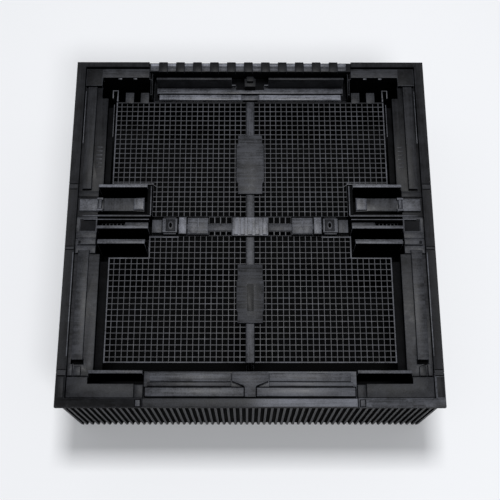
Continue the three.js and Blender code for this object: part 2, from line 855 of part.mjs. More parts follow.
// ---------------------------------------------------------------- front ledge, bars, key, corners
const coverBarFront = -outY + coverBarInset;
const padOut = frontHalf - longPadEnd;
const pad = (x0, x1, y0, y1, rise) => block(x0, x1, y0, y1, ledgeTop, ledgeTop + rise);
const padStart = keyHeadHalf + rimGroove;
const sillPads = ([near, far], end, rise) => [
  pad(padStart, end, -ledgeY - far, -ledgeY - near, rise),
  pad(-end, -padStart, -ledgeY - far, -ledgeY - near, rise),
];
place(
  "front_sill",
  joined(
    raised(rectangle(fit - frontHalf, frontHalf - fit, -wallOutY, -ledgeY), flangeBottom, ledgeTop),
    block(fit - frontHalf, frontHalf - fit, -ledgeY - skirtThickness, -ledgeY, skirtBottom, flangeBottom),
    ...sillPads(longPad, padOut, lowPad),
    ...sillPads(thinPad, padOut + thinPadPast, thinPadRise),
  ),
  innerBlack,
);
placePair(
  "cover_bar",
  block(keyHalf + fit, frontHalf - coverBarEnd, coverBarFront, coverBarFront + coverBarWidth, rimBottom,
    tabPlateTop),
  brightBlack,
);
const keyBack = -ledgeY - keyInset;
const keyShoulder = keyBack - keyHeadLength;
const keyWaist = keyShoulder - keyTaper;
place(
  "centre_key",
  raised(
    [
      [-keyHeadHalf, keyBack],
      [-keyHeadHalf, keyShoulder],
      [-keyHalf, keyWaist],
      [-keyHalf, coverBarFront - fit],
      [keyHalf, coverBarFront - fit],
      [keyHalf, keyWaist],
      [keyHeadHalf, keyShoulder],
      [keyHeadHalf, keyBack],
    ],
    rimBottom,
    padTop,
  ),
  innerBlack,
);

const cornerPlateIn = frontHalf + cornerStrip;
const cornerEnd = ledgeEnd - fit;
const cornerOuter = (inside, outsideX, outsideY, back) => [
  [inside, -outsideY],
  [outsideX, -outsideY],
  [outsideX, back],
  [blockX, back],
  [blockX, slotFront],
  [inside, slotFront],
];
placePair(
  "front_corner",
  joined(
    raised(cornerOuter(frontHalf + fit, wallOutX, wallOutY, cornerEnd), flangeBottom, ledgeTop),
    raised(
      cornerOuter(cornerPlateIn, rimInX - rimGroove, outY - frontRimWidth - rimGroove,
        cornerEnd - barEnds),
      ledgeTop,
      padTop,
    ),
    pad(frontHalf + fit, cornerPlateIn - rimGroove, -outY + frontRimWidth + rimGroove,
      slotFront - rimGroove, lowPad),
    block(frontHalf + fit, blockX, slotFront - skirtThickness, slotFront, skirtBottom, flangeBottom),
  ),
  innerBlack,
);

// ---------------------------------------------------------------- entrance
const gateBack = outY - gateInset;
const gateFront = gateBack - gateThickness;
const channelTop = entranceFloor + channelHeight;
const channelIn = gateGap / 2 - gateEnd;
const channelOut = entranceHalf - recessEdge;
const channel = (y0, y1) => [
  block(channelIn, channelOut, y0, y1, entranceFloor, channelTop),
  block(-channelOut, -channelIn, y0, y1, entranceFloor, channelTop),
];
const floorBottom = entranceFloor - flangeThickness;
const [sillNear, sillFar] = sillBarBand;
const sillIn = keyHeadHalf / 2;
const sillOut = entranceHalf - sillBarEnd;
const sillBar = (x0, x1) => block(x0, x1, ledgeY + sillNear, ledgeY + sillFar, entranceFloor,
  entranceFloor + lowPad);
place(
  "entrance_floor",
  joined(
    block(fit - entranceHalf, entranceHalf - fit, ledgeY, wallInY - fit, floorBottom, entranceFloor),
    block(fit - entranceHalf, entranceHalf - fit, ledgeY, ledgeY + skirtThickness, skirtBottom, floorBottom),
    ...channel(gateBack + run, gateBack + run + channelLip),
    ...channel(ledgeY + sillFar + rimGroove, gateFront - run),
    sillBar(sillIn, sillOut),
    sillBar(-sillOut, -sillIn),
  ),
  innerBlack,
);
placePair(
  "gate",
  block(gateGap / 2, entranceHalf - gateEnd, gateFront, gateBack, entranceFloor + fit, tabPlateTop),
  frameBlack,
);
place(
  "centre_block",
  joined(
    block(-centreBlockHalf, centreBlockHalf, gateFront - centreBlockLap, gateBack + gateEnd,
      entranceFloor + fit, ledgeTop - centreBlockDrop),
    block(-centrePostHalf, centrePostHalf, gateFront + gateThickness / 2, gateBack + gateEnd,
      ledgeTop - centreBlockDrop - panelLap, ledgeTop),
  ),
  innerBlack,
);

// ---------------------------------------------------------------- inspection tray
const trayTop = trayLift + trayThickness;
const trayFront = trayShort - wallInY;
const faceBack = wallOutY - ribDepth + trayProud;
const trayBack = wallInY + panelLap;
place(
  "inspection_tray",
  cut(
    joined(
      block(-trayHalf, trayHalf, trayFront, trayBack, trayLift, trayTop),
      block(-trayHalf, trayHalf, wallInY, faceBack, trayLift, trayLift + trayFace),
      block(-trayHalf, trayHalf, trayFront, trayFront + skirtThickness, trayLift, trayLift + trayLip),
      block(-trayHalf, skirtThickness - trayHalf, trayFront, trayBack, trayLift, trayLift + trayLip),
      block(trayHalf - skirtThickness, trayHalf, trayFront, trayBack, trayLift, trayLift + trayLip),
    ),
    block(-trayGrip.half, trayGrip.half, faceBack - trayGrip.depth, outY, trayLift + trayGrip.rise,
      trayLift + trayFace - trayGrip.top),
  ),
  frameBlack,
);

export default box;
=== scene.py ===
import math

import bpy
from mathutils import Euler, Matrix, Vector


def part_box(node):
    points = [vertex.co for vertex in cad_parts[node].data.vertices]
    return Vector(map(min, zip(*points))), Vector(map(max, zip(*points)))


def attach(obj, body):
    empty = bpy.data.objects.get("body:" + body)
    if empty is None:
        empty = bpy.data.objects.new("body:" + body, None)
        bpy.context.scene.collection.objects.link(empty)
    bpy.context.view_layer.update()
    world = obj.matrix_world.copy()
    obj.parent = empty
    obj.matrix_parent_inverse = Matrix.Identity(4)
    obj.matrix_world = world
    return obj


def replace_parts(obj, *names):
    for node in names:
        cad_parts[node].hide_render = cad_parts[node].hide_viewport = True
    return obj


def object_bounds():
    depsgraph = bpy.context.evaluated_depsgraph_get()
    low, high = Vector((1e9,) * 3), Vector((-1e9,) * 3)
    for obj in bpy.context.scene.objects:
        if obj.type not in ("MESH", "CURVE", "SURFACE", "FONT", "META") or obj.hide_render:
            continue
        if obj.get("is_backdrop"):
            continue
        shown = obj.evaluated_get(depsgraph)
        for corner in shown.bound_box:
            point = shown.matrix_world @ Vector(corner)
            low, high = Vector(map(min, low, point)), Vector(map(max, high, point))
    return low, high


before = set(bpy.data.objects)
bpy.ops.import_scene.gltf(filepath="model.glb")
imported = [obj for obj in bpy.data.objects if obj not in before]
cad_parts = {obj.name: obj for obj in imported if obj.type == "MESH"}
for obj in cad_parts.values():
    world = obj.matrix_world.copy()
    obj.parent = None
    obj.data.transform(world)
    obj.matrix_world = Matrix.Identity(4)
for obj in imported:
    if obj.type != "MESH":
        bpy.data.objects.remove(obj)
cad_low, cad_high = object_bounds()
scene = bpy.context.scene
MM = 0.001

# ---------------------------------------------------------------- table, camera and studio light
# The box stands on a white paper sweep. It is seen steeply from its front, under a softbox that hangs
# a little behind it, with a weak fill from the front.
camera = bpy.data.objects.new("camera", bpy.data.cameras.new("camera"))
scene.collection.objects.link(camera)
camera.data.lens = 65.48
camera.data.sensor_width = 36
camera.location = (-0.0036, -0.446, 1.3443)
tilt = Euler((math.radians(90 - 70.912), 0, math.radians(-0.4735))).to_matrix()
camera.rotation_euler = (tilt @ Matrix.Rotation(math.radians(0.4865), 3, "Z")).to_euler()
scene.camera = camera
scene.view_settings.view_transform = "Standard"

bpy.ops.object.select_all(action="DESELECT")
bpy.ops.mesh.primitive_plane_add(size=14, location=(0, 0, cad_low.z - 0.4 * MM))
bpy.ops.object.transform_apply(location=True)
paper_sheet = bpy.context.object
paper_sheet.name = "paper_sheet"
paper_sheet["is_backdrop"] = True
paper = bpy.data.materials.new("paper")
paper.use_nodes = True
paper_surface = paper.node_tree.nodes["Principled BSDF"]
paper_surface.inputs["Base Color"].default_value = (0.89, 0.9, 0.925, 1)
paper_surface.inputs["Roughness"].default_value = 0.9
paper_surface.inputs["Specular IOR Level"].default_value = 0.1
paper_sheet.data.materials.append(paper)


def softbox(name, place, target, width, length, power):
    """A rectangular lamp aimed at a point."""
    lamp = bpy.data.objects.new(name, bpy.data.lights.new(name, "AREA"))
    lamp.data.shape = "RECTANGLE"
    lamp.data.size = width
    lamp.data.size_y = length
    lamp.data.energy = power
    lamp.location = place
    lamp.rotation_euler = (Vector(target) - Vector(place)).to_track_quat("-Z", "Y").to_euler()
    scene.collection.objects.link(lamp)


softbox("top_softbox", (0.03, 0.44, 2.6), (0, 0, 0), 0.5, 0.5, 41)
softbox("front_fill", (0.7, -1.8, 3.0), (0.2, -0.3, 0), 1.0, 0.7, 35)

room = bpy.data.worlds.new("room")
room.use_nodes = True
room.node_tree.nodes["Background"].inputs["Color"].default_value = (0.96, 0.98, 1, 1)
room.node_tree.nodes["Background"].inputs["Strength"].default_value = 0.25
scene.world = room

# ---------------------------------------------------------------- ribbed skirt
# Four moulded black plastic panels with upright rounded ribs; the side panels turn the corners of the
# box. They stand on the ground and carry the flange of every ledge on their upper edge.


class Wire:
    """A shader value: arithmetic adds Math nodes, and node() adds any other node."""

    def __init__(self, tree, socket):
        self.tree = tree
        self.socket = socket

    def node(self, kind, settings, output, **sockets):
        made = self.tree.nodes.new(kind)
        for name, value in settings.items():
            if name == "stops":
                for stop, (position, grey) in zip(made.color_ramp.elements, value):
                    stop.position = position
                    stop.color = (grey, grey, grey, 1)
            else:
                setattr(made, name, value)
        for name, value in sockets.items():
            wanted = made.inputs[int(name[1:])] if name[0] == "_" else made.inputs[name]
            if isinstance(value, Wire):
                self.tree.links.new(value.socket, wanted)
            else:
                wanted.default_value = value
        return Wire(self.tree, made.outputs[output])

    def maths(self, operation, first, second):
        return self.node("ShaderNodeMath", {"operation": operation}, 0, _0=first, _1=second)

    def __add__(self, other):
        return self.maths("ADD", self, other)

    def __radd__(self, other):
        return self.maths("ADD", other, self)

    def __sub__(self, other):
        return self.maths("SUBTRACT", self, other)

    def __rsub__(self, other):
        return self.maths("SUBTRACT", other, self)

    def __mul__(self, other):
        return self.maths("MULTIPLY", self, other)

    def __rmul__(self, other):
        return self.maths("MULTIPLY", other, self)


def tinted(tone):
    """A near-neutral black or grey, slightly cool."""
    return (tone * 0.93, tone * 0.975, tone * 1.15, 1)


def plastic(name, tone, sheen, roughness, streak=0.0, along=(1, 1, 1), rubbed=0.0, grain=1.0, fade=1.0):
    """Moulded plastic: cloudy colour, pores, tool streaks along a piece and rubbed lighter patches.

    Where fade isn't 1, the right half is that many times as light, after a soft change at the middle: a
    painted reflection.
    """
    material = bpy.data.materials.new(name)
    material.use_nodes = True
    tree = material.node_tree
    surface = tree.nodes["Principled BSDF"]
    place = Wire(tree, tree.nodes.new("ShaderNodeTexCoord").outputs["Object"])
    cloud = place.node("ShaderNodeTexNoise", {}, 0, Vector=place, Scale=48.0, Detail=5.0, Roughness=0.65)
    pores = place.node("ShaderNodeTexNoise", {}, 0, Vector=place, Scale=650.0, Detail=3.0)
    drawn = place.node("ShaderNodeMapping", {}, 0, Vector=place, Scale=along)
    lines = place.node("ShaderNodeTexNoise", {}, 0, Vector=drawn, Scale=330.0, Detail=4.0, Roughness=0.7)
    patches = place.node("ShaderNodeTexNoise", {}, 0, Vector=place, Scale=85.0, Detail=7.0, Roughness=0.75)
    mask = place.node("ShaderNodeValToRGB", {"stops": [(0.5, 0.0), (0.72, 1.0)]}, 0, Fac=patches)
    shade = 0.5 + (cloud - 0.5) * 2.4 + (pores - 0.5) * 2.0 + (lines - 0.5) * (6.0 * streak)
    level = place.node("ShaderNodeClamp", {}, 0, Value=shade)
    blend = {"data_type": "RGBA"}
    body = place.node("ShaderNodeMix", blend, 2, _0=level, _6=tinted(tone * 0.4), _7=tinted(tone * 1.6))
    # Painted reflection: the right half gets a lighter copy of the colour.
    if fade != 1:
        across = place.node("ShaderNodeSeparateXYZ", {}, 0, Vector=place)
        soft = {"interpolation_type": "SMOOTHSTEP"}
        right = place.node("ShaderNodeMapRange", soft, 0, Value=across, _1=-0.01, _2=0.03)
        low_tone, high_tone = tinted(tone * 0.7 * fade), tinted(tone * 1.3 * fade)
        lighter = place.node("ShaderNodeMix", blend, 2, _0=level, _6=low_tone, _7=high_tone)
        body = place.node("ShaderNodeMix", blend, 2, _0=right, _6=body, _7=lighter)
    worn = place.node("ShaderNodeMix", blend, 2, _0=mask * rubbed, _6=body, _7=tinted(tone * 2.6))
    tree.links.new(worn.socket, surface.inputs["Base Color"])
    polish = roughness + (cloud - 0.5) * 0.3 + (lines - 0.5) * (0.5 * streak) - mask * (0.1 * rubbed)
    tree.links.new(polish.socket, surface.inputs["Roughness"])
    relief = pores * 0.6 + lines * streak + patches * (0.8 * rubbed)
    bump = place.node("ShaderNodeBump", {}, 0, Strength=0.4 * grain, Distance=0.3 * MM, Height=relief)
    tree.links.new(bump.socket, surface.inputs["Normal"])
    surface.inputs["Specular IOR Level"].default_value = sheen
    return material


def finish(name, tone, sheen=0.25, roughness=0.5, side=0.3, edge=1.7, **marks):
    """The three surfaces of one plastic: flat tops, the upright sides painted darker as painted shade, and
    lighter edges, partly rubbed wear and partly painted highlight.
    """
    return (
        plastic(name, tone, sheen, roughness, **marks),
        plastic(name + "_side", tone * side, sheen * min(1, 1.5 * side), roughness + 0.1),
        plastic(name + "_edge", tone * edge, sheen, roughness - 0.05),
    )


def select_only(piece):
    bpy.ops.object.select_all(action="DESELECT")
    piece.select_set(True)
    bpy.context.view_layer.objects.active = piece


def edit_faces(piece, wanted):
    """Opens edit mode with only the faces selected that pass a test."""
    select_only(piece)
    bpy.ops.object.mode_set(mode="EDIT")
    bpy.ops.mesh.select_mode(type="FACE")
    bpy.ops.mesh.select_all(action="DESELECT")
    bpy.ops.object.mode_set(mode="OBJECT")
    for face in piece.data.polygons:
        face.select = wanted(face)
    bpy.ops.object.mode_set(mode="EDIT")


def panel_tops(piece, inset, sink):
    """Sinks a panel into the highest flat faces of a piece, and leaves a lip round it."""
    top = max(corner[2] for corner in piece.bound_box) - 0.1 * MM
    edit_faces(piece, lambda face: face.normal.z > 0.9 and face.center.z > top)
    bpy.ops.mesh.inset(thickness=inset * MM, depth=-sink * MM)
    bpy.ops.object.mode_set(mode="OBJECT")


def surface_piece(piece, surfaces, width, segments=2, deep=40):
    """Gives tops, sides and edges their surfaces and rounds the edges; up-facing faces more than deep below
    the top take the side surface as painted shade.
    """
    select_only(piece)
    piece.data.materials.clear()
    for material in surfaces:
        piece.data.materials.append(material)
    low = max(corner[2] for corner in piece.bound_box) - deep * MM
    for polygon in piece.data.polygons:
        polygon.material_index = 0 if polygon.normal.z > 0.6 and polygon.center.z > low else 1
    rounding = piece.modifiers.new("rounding", "BEVEL")
    rounding.width = width * MM
    rounding.segments = segments
    rounding.limit_method = "ANGLE"
    rounding.angle_limit = math.radians(25)
    rounding.material = 2
    bpy.ops.object.modifier_apply(modifier="rounding")
    bpy.ops.object.shade_smooth_by_angle(angle=math.radians(35))


def repaint(piece, material, wanted):
    """Gives the faces that pass a test another surface; the test takes a place in millimetres."""
    piece.data.materials.append(material)
    for polygon in piece.data.polygons:
        if wanted(polygon.center / MM, polygon.normal):
            polygon.material_index = len(piece.data.materials) - 1


def moulded(node, slot, surfaces, width=0.5, segments=2, body="box", panel=None, deep=40):
    """The piece of a node with rounded edges and, where given, a sunk panel and low faces painted dark as
    painted shade.
    """
    piece = bpy.data.objects.new(node + "_moulded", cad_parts[node].data.copy())
    scene.collection.objects.link(piece)
    select_only(piece)
    bpy.ops.object.mode_set(mode="EDIT")
    bpy.ops.mesh.select_all(action="SELECT")
    bpy.ops.mesh.remove_doubles(threshold=0.02 * MM)
    bpy.ops.mesh.dissolve_limited(angle_limit=math.radians(2))
    bpy.ops.object.mode_set(mode="OBJECT")
    if panel:
        panel_tops(piece, *panel)
    surface_piece(piece, surfaces, width, segments, deep)
    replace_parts(piece, node)
    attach(piece, body)
    return piece


def moulded_pair(node, *rest, **more):
    return [moulded(side + node, *rest, **more) for side in ("right_", "left_")]


def box_mm(node):
    """The low and high corners of a node, in millimetres."""
    return [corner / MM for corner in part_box(node)]


rib = finish("rib", 0.019, 0.2, 0.5, side=1.0, edge=1.15, streak=0.15, along=(1, 1, 0.05))
# Painted shade: the faces down in the grooves between the ribs are painted near black.
groove = plastic("rib_groove_shade", 0.0012, 0.02, 0.8)
rib_depth, corner_radius = 2.4, 11
crest = cad_high.x / MM - rib_depth
corner = cad_high.x / MM - corner_radius


def in_groove(place, normal):
    x, y = abs(place.x), abs(place.y)
    return max(x, y) < crest and min(x, y) < corner


for wall in ("front_wall", "back_wall", "left_wall", "right_wall"):
    repaint(moulded(wall, "ribbed_skirt", rib, 0.9, 3), groove, in_groove)

# ---------------------------------------------------------------- top rim
# The rim is clipped together from six plain lengths and a raised front bar, with a lighter band at
# each joint. The front corners are scratched where boxes have been stacked on them. The back length
# is painted darker as painted shade; the right front corner and the right half of the front bar are
# painted lighter as a painted reflection.
ALONG_X = (0.05, 1, 1)
ALONG_Y = (1, 0.05, 1)


def add_block(name, x, y, z):
    """A block between low and high sizes in millimetres, with its place in its mesh."""
    bpy.ops.object.select_all(action="DESELECT")
    middle = [(low + high) / 2 * MM for low, high in (x, y, z)]
    bpy.ops.mesh.primitive_cube_add(size=1, location=middle)
    piece = bpy.context.object
    piece.name = name
    piece.scale = [(high - low) * MM for low, high in (x, y, z)]
    bpy.ops.object.transform_apply(location=True, rotation=True, scale=True)
    return piece


def part_of(piece, body="box"):
    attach(piece, body)
    return piece


def left_copy(piece, body="box"):
    """The mirror image of a right-hand piece, with its own mesh."""
    twin = piece.copy()
    twin.data = piece.data.copy()
    twin.name = piece.name.replace("right_", "left_")
    scene.collection.objects.link(twin)
    twin.data.transform(Matrix.Scale(-1, 4, (1, 0, 0)))
    twin.data.flip_normals()
    return part_of(twin, body)


side_rim = finish("side_rim", 0.0102, 0.1, 0.5, side=0.3, edge=1.3, streak=0.35, along=ALONG_Y)
# Painted shade: the back length of each rim piece gets this darker copy of the side rim's plastic.
back_rim = finish("back_rim", 0.0075, 0.08, 0.5, side=0.3, edge=1.4, streak=0.35, along=ALONG_X)
sunk_top = {"panel": (0.6, 0.4)}
for node in ("rim_back_corner", "rim_middle", "rim_front"):
    for piece in moulded_pair(node, "dark_frame", side_rim, 0.6, **sunk_top):
        repaint(piece, back_rim[0], lambda place, normal: place.y > 243 and normal.z > 0.6)
joint_band = finish("joint_band", 0.017, 0.12, 0.5, side=0.05, edge=1.6, rubbed=0.4)
joint_line = finish("joint_line", 0.0008, 0.02, 0.8, side=0.5, edge=1.0)
rim_low, rim_high = box_mm("right_rim_middle")
joint_x, joint_z = (rim_low.x + 0.7, rim_high.x - 0.7), (rim_high.z - 0.7, rim_high.z)
for name, front, back in (("back", 51, 59.6), ("middle", -38.6, -33), ("front", -213, -204)):
    rows = (
        ("back_line", (back - 1, back), joint_line),
        ("band", (front + 1, back - 1), joint_band),
        ("front_line", (front, front + 1), joint_line),
    )
    for row, joint_y, surfaces in rows:
        piece = add_block(f"right_{name}_{row}", joint_x, joint_y, joint_z)
        surface_piece(piece, surfaces, 0.15, 1)
        left_copy(part_of(piece))
scratched = {"streak": 0.6, "along": ALONG_X, "rubbed": 1.0}
# Painted reflection: the right front corner is painted about eight times as light as the left one. Both
# carry scratches.
left_corner = finish("left_corner_rim", 0.0042, 0.05, 0.5, edge=3.0, **scratched)
right_corner = finish("right_corner_rim", 0.034, 0.12, 0.5, edge=1.4, **scratched)
moulded("left_rim_front_corner", "dark_frame", left_corner, 0.5, **sunk_top)
moulded("right_rim_front_corner", "dark_frame", right_corner, 0.5, **sunk_top)
# Painted reflection: the right half of the front bar is painted 6.5 times as light, with a soft change near
# the middle.
front_bar = finish("front_bar", 0.0165, 0.2, 0.5, side=0.15, edge=1.1, streak=0.3, along=ALONG_X, fade=6.5)
moulded("front_rim_bar", "dark_frame", front_bar, 1.0, 3)

# ---------------------------------------------------------------- entrance comb
# A rail over the entrance with eleven square teeth. Between the teeth the rail is brushed bright, most
# of all along its outer edge.
comb = finish("comb", 0.009, 0.12, 0.45, side=0.3, edge=1.7)
moulded("entrance_comb", "dark_frame", comb, 0.8, 2)


def laid(name, x, y, z, surfaces, edge=0.4, body="box"):
    """A moulded block laid on the pieces under it."""
    piece = add_block(name, x, y, z)
    surface_piece(piece, surfaces, edge)
    return part_of(piece, body)


def slab(name, x, y, z, surfaces, edge=0.4, bodies=("box", "box")):
    """A moulded right-hand block and its left-hand twin."""
    piece = laid(name, x, y, z, surfaces, edge, bodies[0])
    left_copy(piece, bodies[1])
    return piece


comb_low, comb_high = box_mm("entrance_comb")
brushed = finish("comb_brushed", 0.13, 0.3, 0.5, side=0.3, edge=1.2, streak=0.5, along=ALONG_X, rubbed=0.5)
scuffed = finish("comb_scuffed", 0.043, 0.2, 0.5, side=0.3, edge=1.2, streak=0.6, along=ALONG_X, rubbed=0.6)
tooth_pitch, tooth_width, tooth_shift, tooth_gap = 25, 12.5, -2.6, 0.3
rail_top = comb_high.z - 1.5
strip_z = (rail_top - 0.5, rail_top + 0.5)
for step in range(-6, 6):
    tooth_end = tooth_width / 2 + tooth_pitch * step + tooth_shift
    start = max(tooth_end + tooth_gap, comb_low.x + 1)
    end = min(tooth_end + tooth_pitch - tooth_width - tooth_gap, comb_high.x - 1)
    for row, back, front, surfaces in (("outer", 6.4, 2.2, brushed), ("inner", 13.6, 6.8, scuffed)):
        strip_y = (comb_high.y - back, comb_high.y - front)
        laid(f"comb_{row}_{step + 6}", (start, end), strip_y, strip_z, surfaces, 0.3)

# ---------------------------------------------------------------- back corner brackets
# A rough moulded post in each back corner with a smoother bar towards the entrance, and two small
# lugs on the bar's front edge over the corner well.
bracket = finish("bracket", 0.0195, 0.15, 0.5, side=0.06, edge=1.8, streak=0.6, along=ALONG_X, rubbed=0.5)
post = finish("corner_post", 0.0065, 0.12, 0.6, side=0.2, edge=2.0, rubbed=1.0, grain=2.5)
# Painted shade: up-facing faces more than 4 mm below the top are painted dark.
moulded_pair("back_bracket", "inner_frame", bracket, 1.0, 3, deep=4)
low, high = box_mm("right_back_bracket")
post_x, post_y, post_z = (216.4, 239.6), (high.y - 35.5, high.y - 9), (high.z - 1, high.z + 0.6)
slab("right_corner_post", post_x, post_y, post_z, post, 0.8)
lug = finish("lug", 0.05, 0.3, 0.4, side=0.5, edge=1.2)
lug_start, lug_length, lug_pitch = 165.9, 5.2, 22
lug_y, lug_z = (227.2, 229.8), (high.z - 4, high.z - 1.4)
for step in (0, lug_pitch):
    lug_x = (lug_start + step, lug_start + lug_length + step)
    slab(f"right_lug_{step}", lug_x, lug_y, lug_z, lug, 0.7)

# ---------------------------------------------------------------- side ledges, bars and slides
# Smooth ledges run down both sides; a fixed bar lies on each back half and a sliding bar on each
# front half, ahead of which stand two small stop lobes.
ledge = finish("ledge", 0.0085, 0.1, 0.42, side=0.1, edge=1.5, streak=0.3, along=ALONG_Y, rubbed=0.3)
bar = finish("side_bar", 0.0138, 0.15, 0.5, side=0.06, edge=1.5, streak=0.4, along=ALONG_Y, rubbed=0.2)
worn = {"streak": 0.5, "along": ALONG_X, "rubbed": 0.7}
worn_ledge = finish("worn_ledge", 0.0155, 0.2, 0.5, side=0.06, edge=1.4, **worn)
moulded_pair("back_ledge", "inner_frame", ledge, 0.6)
# Painted shade: up-facing faces more than 5 mm below the top are painted dark.
moulded_pair("front_ledge", "inner_frame", worn_ledge, 0.7, deep=5)
moulded_pair("ledge_bar", "bright_fitting", bar, 0.7)


def moving_pair(node, slot, surfaces, width, body):
    """A right and a left piece that each ride on a moving body of their own side."""
    sides = ("right_", "left_")
    return [moulded(side + node, slot, surfaces, width, body=side + body) for side in sides]


slide = finish("slide", 0.0232, 0.2, 0.45, side=0.06, edge=1.3, streak=0.5, along=ALONG_X, rubbed=0.2)
moving_pair("slide", "bright_fitting", slide, 0.7, "slide")

low, high = box_mm("right_back_ledge")
mark = finish("ledge_mark", 0.03, 0.2, 0.45, side=0.5, edge=1.2, rubbed=0.7)
ledge_top = 160
mark_x, mark_start, mark_width, mark_pitch = (low.x + 4, low.x + 12.5), 88, 1.5, 6.2
for step in range(6):
    start = mark_start + mark_pitch * step
    mark_y, mark_z = (start, start + mark_width), (ledge_top - 0.2, ledge_top + 0.4)
    slab(f"right_ledge_mark_{step}", mark_x, mark_y, mark_z, mark, 0.2)
bead = finish("bead", 0.06, 0.25, 0.4, side=0.6, edge=1.3, rubbed=0.8)
bar_end = box_mm("right_ledge_bar")[1]
bead_x, bead_y = (bar_end.x + 2.8, bar_end.x + 3.7), (bar_end.y - 90, bar_end.y - 6)
slab("right_bead_back", bead_x, bead_y, (ledge_top + 0.2, ledge_top + 3.8), bead, 0.3)
slide_low, slide_high = box_mm("right_slide")
rim_low, rim_high = box_mm("right_rim_front")
bead_x = (rim_low.x + 0.5, rim_low.x + 1.7)
bead_y = (slide_low.y + 4, slide_high.y - 4)
slab("right_bead_front", bead_x, bead_y, (rim_high.z - 0.6, rim_high.z), bead, 0.3)

# ---------------------------------------------------------------- pockets, latches and tab plates
# A square-cut pocket with a bright lip holds a hinged latch lever, which shuts on a rough keeper. Thin
# tab plates stand behind the slots where the next box hooks in. Their top edges are rubbed bright, and
# their upright faces are painted near black as painted shade in the slots.
pocket = finish("pocket", 0.011, 0.12, 0.5, side=0.05, edge=1.6, streak=0.2, along=ALONG_X, rubbed=0.4)
keeper = finish("keeper", 0.062, 0.25, 0.55, side=0.1, edge=1.2, rubbed=0.5, grain=2)
hinge_x = box_mm("right_latch_lever")[1].x
for piece in moulded_pair("pocket", "inner_frame", pocket, 0.7):
    repaint(piece, keeper[0], lambda place, normal: place.z > 161.5 and 190 < abs(place.x) < hinge_x + 1)
pocket_rim = finish("pocket_rim", 0.05, 0.25, 0.5, side=0.05, edge=1.3, rubbed=0.6)
low, high = box_mm("right_pocket")
lip_z = (ledge_top - 0.4, ledge_top + 0.6)
lip_x, lip_y = (low.x, low.x + 1.5), (low.y, low.y + 1.6)
slab("right_pocket_side_rim", lip_x, (low.y, high.y), lip_z, pocket_rim, 0.4)
# Painted shade: a near-black band along the inner side of the pocket's lip makes that side read as part of
# the dark pit.
pit_shade = finish("pocket_band_shade", 0.0022, 0.03, 0.6, side=0.5, edge=1.5)
band_x, band_z = (low.x + 1.5, low.x + 5.8), (ledge_top - 0.4, ledge_top + 0.3)
slab("right_pocket_side_band", band_x, (low.y + 1.4, high.y), band_z, pit_shade, 0.2)
slab("right_pocket_front_rim", (low.x, 234), lip_y, lip_z, pocket_rim, 0.4)
rail_x, rail_y, rail_z = (141, 232), (8.3, 9.5), (ledge_top - 9, ledge_top + 0.4)
slab("right_trench_rail", rail_x, rail_y, rail_z, pocket_rim, 0.3)
# Painted sheen: the back plates are painted lighter than the twin plates, and these lighter than the front
# plates.
tab = finish("tab_plate", 0.085, 0.3, 0.5, side=0.003, edge=1.1, streak=0.4, along=ALONG_X, rubbed=0.3)
front_tab = finish("front_tab_plate", 0.042, 0.25, 0.5, side=0.003, edge=1.2, streak=0.4, along=ALONG_X)
moulded_pair("back_tab", "bright_fitting", tab, 0.6)
twin_tab = finish("twin_tab_plate", 0.062, 0.3, 0.5, side=0.003, edge=1.1, streak=0.4, along=ALONG_X)
moulded_pair("twin_tab", "bright_fitting", twin_tab, 0.6)
moulded_pair("front_tab", "bright_fitting", front_tab, 0.6)
lever = finish("lever_arm", 0.0219, 0.2, 0.45, side=0.02, edge=1.2, streak=0.4, along=ALONG_Y, rubbed=0.6)
for piece in moving_pair("latch_lever", "bright_fitting", lever, 0.5, "lever"):
    repaint(piece, keeper[0], lambda place, normal: abs(place.x) > hinge_x - 5 and normal.z > 0.3)

low, high = box_mm("right_latch_lever")
thumb = finish("lever_tip", 0.057, 0.3, 0.4, side=0.25, edge=1.15, rubbed=0.5, streak=0.4, along=ALONG_Y)
tip_x, tip_y, tip_z = (low.x, low.x + 15.2), (low.y + 2, high.y - 2), (high.z - 2.6, high.z + 0.4)
tip = add_block("right_lever_tip", tip_x, tip_y, tip_z)
edit_faces(tip, lambda face: face.normal.x < -0.9)
bpy.ops.transform.resize(value=(1, 1.09, 1))
bpy.ops.object.mode_set(mode="OBJECT")
edit_faces(tip, lambda face: face.normal.z > 0.9)
bpy.ops.mesh.inset(thickness=1.6 * MM, depth=1.1 * MM)
bpy.ops.object.mode_set(mode="OBJECT")
surface_piece(tip, thumb, 0.5)
part_of(tip, "right_lever")
left_copy(tip, "left_lever")

keeper_x, keeper_y = (high.x + 0.6, high.x + 25.8), (low.y + 1.5, high.y - 2)
slab("right_keeper", keeper_x, keeper_y, (ledge_top + 2.6, ledge_top + 4), keeper, 0.9)

# ---------------------------------------------------------------- middle blocks
# The block between a pocket and the front ledge: a shallow recess painted dark as painted shade, a
# lighter pad, and a stepped stop that takes the back end of the slide.
middle_block = finish("middle_block", 0.028, 0.2, 0.5, side=0.2, edge=1.5, rubbed=0.6, grain=1.5)
# Painted shade: up-facing faces more than 6 mm below the top, the floor of the recess, are painted dark.
moulded_pair("middle_block", "inner_frame", middle_block, 0.6, deep=6)
stop_x, stop_y, stop_z = (232.6, 236.8), (-29.6, -24), (ledge_top + 3.4, ledge_top + 5)
slab("right_block_stop", stop_x, stop_y, stop_z, keeper, 0.4)

# ---------------------------------------------------------------- floor screens on their cross
# Each quarter of the floor is one moulded plastic screen: a fine square grid inside a narrow raised
# rim, cut out beside the pockets. A cross carries the four quarters.
screen_top = plastic("screen_bar", 0.037, 0.25, 0.45, rubbed=0.8)
